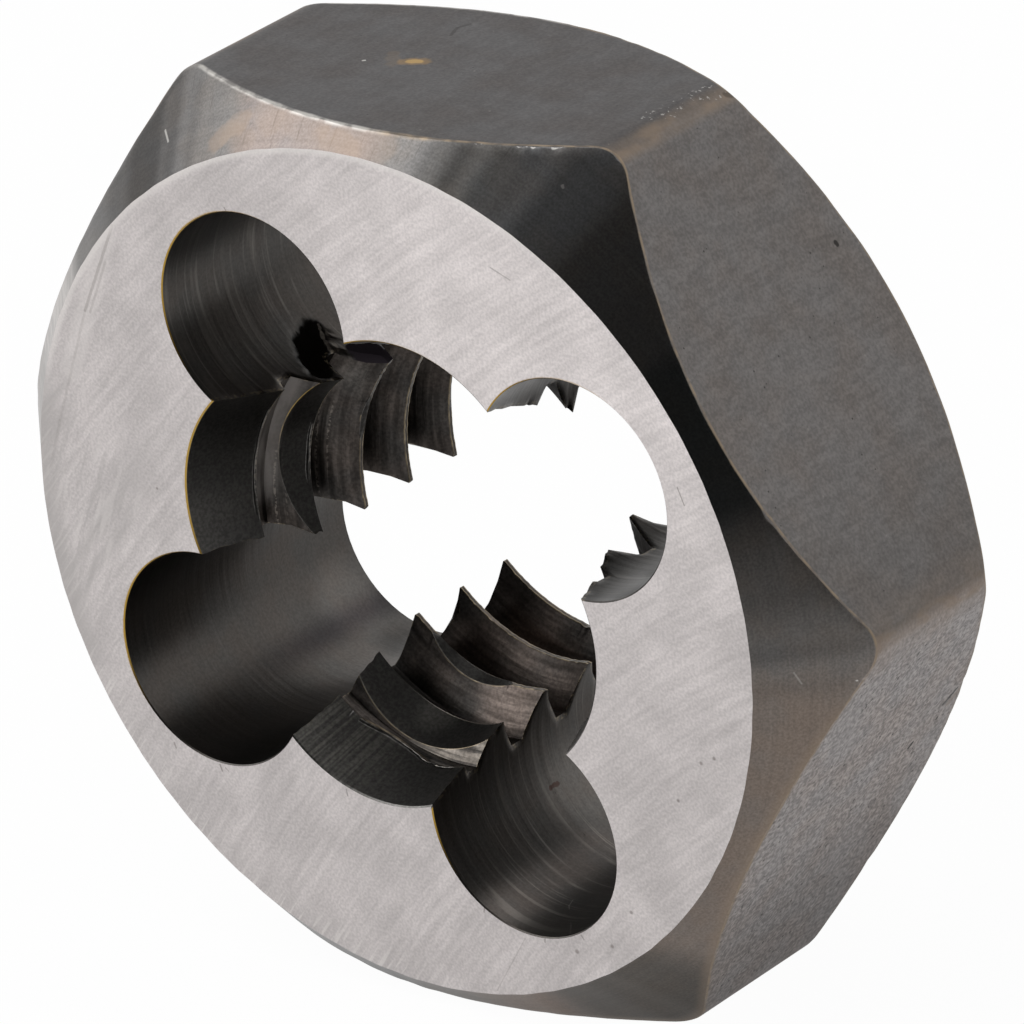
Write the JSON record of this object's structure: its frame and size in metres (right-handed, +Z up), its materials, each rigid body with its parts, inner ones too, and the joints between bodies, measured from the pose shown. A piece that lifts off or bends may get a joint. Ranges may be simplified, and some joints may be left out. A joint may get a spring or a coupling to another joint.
{
  "type": "hex rethreading die",
  "caption": "Hexagonal one-piece steel die that cleans and recuts an outside thread: threaded cutting lands between round chip holes, with wrench flats around them.",
  "frame": {"origin": "on the floor, under the middle of the body, which stands on one of its hexagon flats", "axes": "+Y along the thread axis, from the front face where the rod enters to the back face; +Z up, from the flat that it stands on; +X to the right as seen from the front"},
  "size_m": [0.029, 0.0096, 0.0254],
  "materials": {
    "die_steel": "ground bright end faces, dark tempered flats, cones, holes and teeth"
  },
  "bodies": {
    "root": {"hex_die": "die_steel"}
  },
  "joints": []
}
